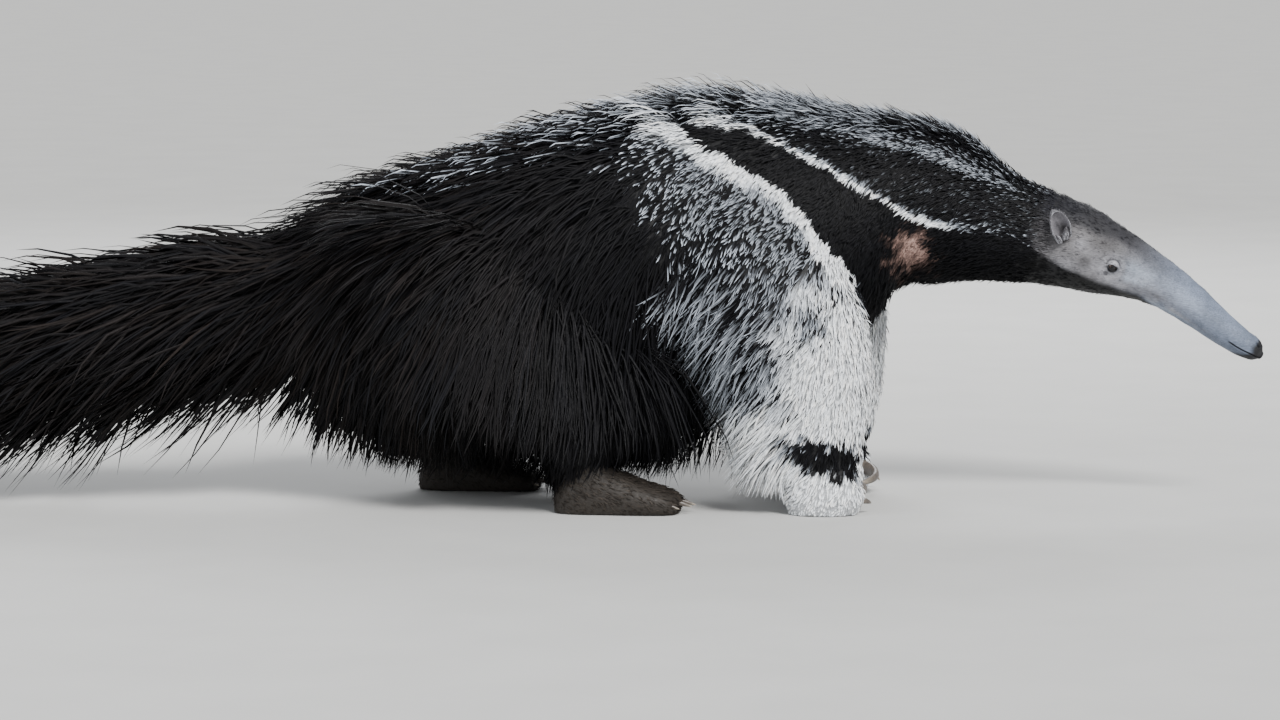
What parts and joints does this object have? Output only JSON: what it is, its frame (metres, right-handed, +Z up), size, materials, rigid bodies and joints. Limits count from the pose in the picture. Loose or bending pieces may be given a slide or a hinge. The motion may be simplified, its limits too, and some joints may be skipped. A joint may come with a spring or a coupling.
{
  "type": "giant anteater, still life-size model",
  "caption": "Standing long-snouted, long-coated mammal in mid-stride, with a plumed tail, striped shoulders and curled foreclaws; rests on its feet.",
  "frame": {"origin": "on the floor, under the middle of the whole figure's box", "axes": "+X along the body towards the snout, +Y to the animal's left, +Z up"},
  "size_m": [2.1038, 0.3814, 0.5321],
  "materials": {
    "coat_black": "long coarse black hair, flecked with grey",
    "coat_grizzled": "coarse black and white hair, mixed",
    "coat_white": "short dense whitish hair",
    "face": "very short smooth grey-brown hair",
    "claw": "dark horn",
    "eye": "wet dark eye"
  },
  "bodies": {
    "root": {"chest": "coat_black", "claw_fore_left_fourth": "claw", "claw_fore_left_second": "claw", "claw_fore_left_third": "claw", "claw_fore_right_fourth": "claw", "claw_fore_right_second": "claw", "claw_fore_right_third": "claw", "claw_hind_left_fifth": "claw", "claw_hind_left_first": "claw", "claw_hind_left_fourth": "claw", "claw_hind_left_second": "claw", "claw_hind_left_third": "claw", "claw_hind_right_fifth": "claw", "claw_hind_right_first": "claw", "claw_hind_right_fourth": "claw", "claw_hind_right_second": "claw", "claw_hind_right_third": "claw", "ear_left": "face", "ear_right": "face", "eye_left": "eye", "eye_right": "eye", "forearm_left": "coat_white", "forearm_right": "coat_white", "forefoot_left": "coat_black", "forefoot_right": "coat_black", "head": "face", "hindfoot_left": "coat_black", "hindfoot_right": "coat_black", "hindquarters": "coat_black", "neck": "coat_grizzled", "shank_left": "coat_black", "shank_right": "coat_black", "tail_middle": "coat_black", "tail_root": "coat_black", "tail_tip": "coat_black", "thigh_left": "coat_black", "thigh_right": "coat_black", "upper_arm_left": "coat_grizzled", "upper_arm_right": "coat_grizzled"}
  },
  "joints": []
}
